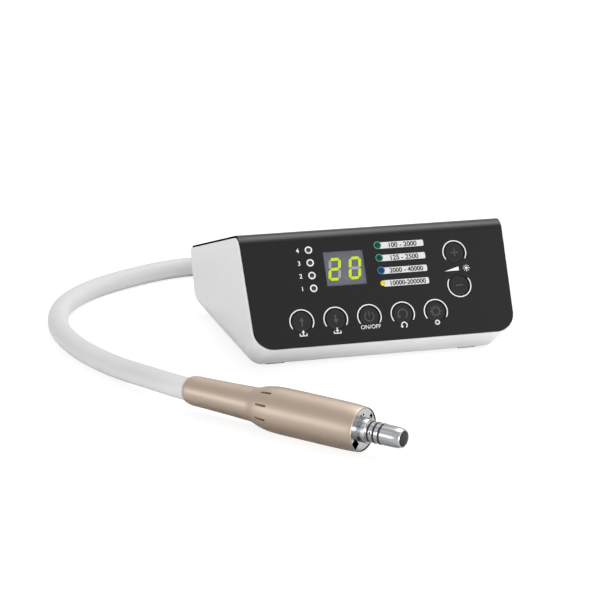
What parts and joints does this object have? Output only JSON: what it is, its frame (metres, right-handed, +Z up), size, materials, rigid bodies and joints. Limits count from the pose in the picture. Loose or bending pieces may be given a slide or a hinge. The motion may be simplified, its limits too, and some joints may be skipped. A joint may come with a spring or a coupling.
{
  "type": "dental micromotor",
  "caption": "Desk console with a sloping key panel and digit display, joined by a flexible hose to a slim electric motor handpiece with a sealed quick-fit nose for dental heads.",
  "frame": {"origin": "on the desk, below the middle of the box round the console, its hose gland and the motor, the free hose left out", "axes": "+X to the right of the key panel, +Y from the panel towards the back, +Z up from the desk"},
  "size_m": [0.2295, 0.3576, 0.0677],
  "materials": {
    "pale_shell": "satin moulded",
    "dark_cover": "satin",
    "key_black": "satin",
    "dark_rubber": "matte",
    "pale_rubber": "matte silicone",
    "screw_steel": "plain",
    "bright_steel": "polished",
    "core_steel": "dull",
    "smoked_lens": "smoked clear",
    "grey_plastic": "matte",
    "lit_yellow_green": "lit",
    "unlit_grey": "unlit",
    "board_green": "lacquered",
    "dark_plastic": "matte",
    "ivory_plastic": "matte",
    "smoked_lamp": "unlit",
    "green_lamp": "dim",
    "blue_lamp": "dim",
    "yellow_lamp": "lit",
    "plain_aluminium": "plain",
    "champagne": "satin champagne anodised",
    "nickel_brass": "nickel plated",
    "copper": "enamelled copper",
    "blue_tube": "clear tube"
  },
  "bodies": {
    "console_and_motor": {"lower_housing": "pale_shell", "top_cover": "dark_cover", "rubber_feet": "dark_rubber", "cover_screws": "screw_steel", "display_lens": "smoked_lens", "display_module": "grey_plastic", "lit_segments": "lit_yellow_green", "dark_segments": "unlit_grey", "control_board": "board_green", "control_board_screws": "screw_steel", "key_switches": "dark_plastic", "memory_lamps": "smoked_lamp", "green_lamps": "green_lamp", "blue_lamp": "blue_lamp", "yellow_lamp": "yellow_lamp", "drive_board": "board_green", "drive_board_screws": "screw_steel", "heat_sink": "plain_aluminium", "power_transistors": "dark_plastic", "capacitors": "plain_aluminium", "board_headers": "ivory_plastic", "ribbon_cable": "grey_plastic", "pressure_sensor": "ivory_plastic", "air_tube": "blue_tube", "air_inlet": "nickel_brass", "power_socket": "dark_plastic", "fitting_nuts": "nickel_brass", "hose_gland": "pale_rubber", "gland_nut": "dark_plastic", "motor_cable": "dark_rubber", "hose": "pale_rubber", "tail_sleeve": "champagne", "hose_spigot": "dark_plastic", "lead_wires": "copper", "motor_sleeve": "champagne", "terminal_block": "ivory_plastic", "rear_bearing_plate": "plain_aluminium", "wave_washer": "screw_steel", "bearing_outer_rings": "bright_steel", "stator_core": "core_steel", "stator_winding": "copper", "spray_lines": "screw_steel", "front_flange": "bright_steel", "motor_lamp": "yellow_lamp", "nose_tube": "bright_steel", "seal_rings": "dark_rubber"},
    "recall_key_body": {"recall_key": "key_black"},
    "store_key_body": {"store_key": "key_black"},
    "power_key_body": {"power_key": "key_black"},
    "reverse_key_body": {"reverse_key": "key_black"},
    "set_key_body": {"set_key": "key_black"},
    "plus_key_body": {"plus_key": "key_black"},
    "minus_key_body": {"minus_key": "key_black"},
    "rotor": {"rotor_shaft": "bright_steel", "rotor_magnet": "core_steel", "bearing_inner_rings": "bright_steel"},
    "front_balls": {"front_ball_set": "bright_steel"},
    "rear_balls": {"rear_ball_set": "bright_steel"}
  },
  "joints": [
    {"name": "recall_key_press", "type": "slide", "parent": "console_and_motor", "child": "recall_key_body", "axis": [0, 0.8746, -0.4848], "range_m": [0, 0.0005], "stiffness_N_per_m": 900},
    {"name": "store_key_press", "type": "slide", "parent": "console_and_motor", "child": "store_key_body", "axis": [0, 0.8746, -0.4848], "range_m": [0, 0.0005], "stiffness_N_per_m": 900},
    {"name": "power_key_press", "type": "slide", "parent": "console_and_motor", "child": "power_key_body", "axis": [0, 0.8746, -0.4848], "range_m": [0, 0.0005], "stiffness_N_per_m": 900},
    {"name": "reverse_key_press", "type": "slide", "parent": "console_and_motor", "child": "reverse_key_body", "axis": [0, 0.8746, -0.4848], "range_m": [0, 0.0005], "stiffness_N_per_m": 900},
    {"name": "set_key_press", "type": "slide", "parent": "console_and_motor", "child": "set_key_body", "axis": [0, 0.8746, -0.4848], "range_m": [0, 0.0005], "stiffness_N_per_m": 900},
    {"name": "plus_key_press", "type": "slide", "parent": "console_and_motor", "child": "plus_key_body", "axis": [0, 0.8746, -0.4848], "range_m": [0, 0.0005], "stiffness_N_per_m": 900},
    {"name": "minus_key_press", "type": "slide", "parent": "console_and_motor", "child": "minus_key_body", "axis": [0, 0.8746, -0.4848], "range_m": [0, 0.0005], "stiffness_N_per_m": 900},
    {"name": "rotor_spin", "type": "hinge", "parent": "console_and_motor", "child": "rotor", "pos_m": [-0.02776, -0.12981, 0.011], "axis": [0.6115, -0.7912, 0], "continuous": true},
    {"name": "front_balls_spin", "type": "hinge", "parent": "console_and_motor", "child": "front_balls", "pos_m": [-0.02776, -0.12981, 0.011], "axis": [0.6115, -0.7912, 0], "continuous": true},
    {"name": "rear_balls_spin", "type": "hinge", "parent": "console_and_motor", "child": "rear_balls", "pos_m": [-0.02776, -0.12981, 0.011], "axis": [0.6115, -0.7912, 0], "continuous": true}
  ],
  "couplings": [
    {"joint": "front_balls_spin", "follows": "rotor_spin", "ratio": 0.3851},
    {"joint": "rear_balls_spin", "follows": "rotor_spin", "ratio": 0.3851}
  ]
}
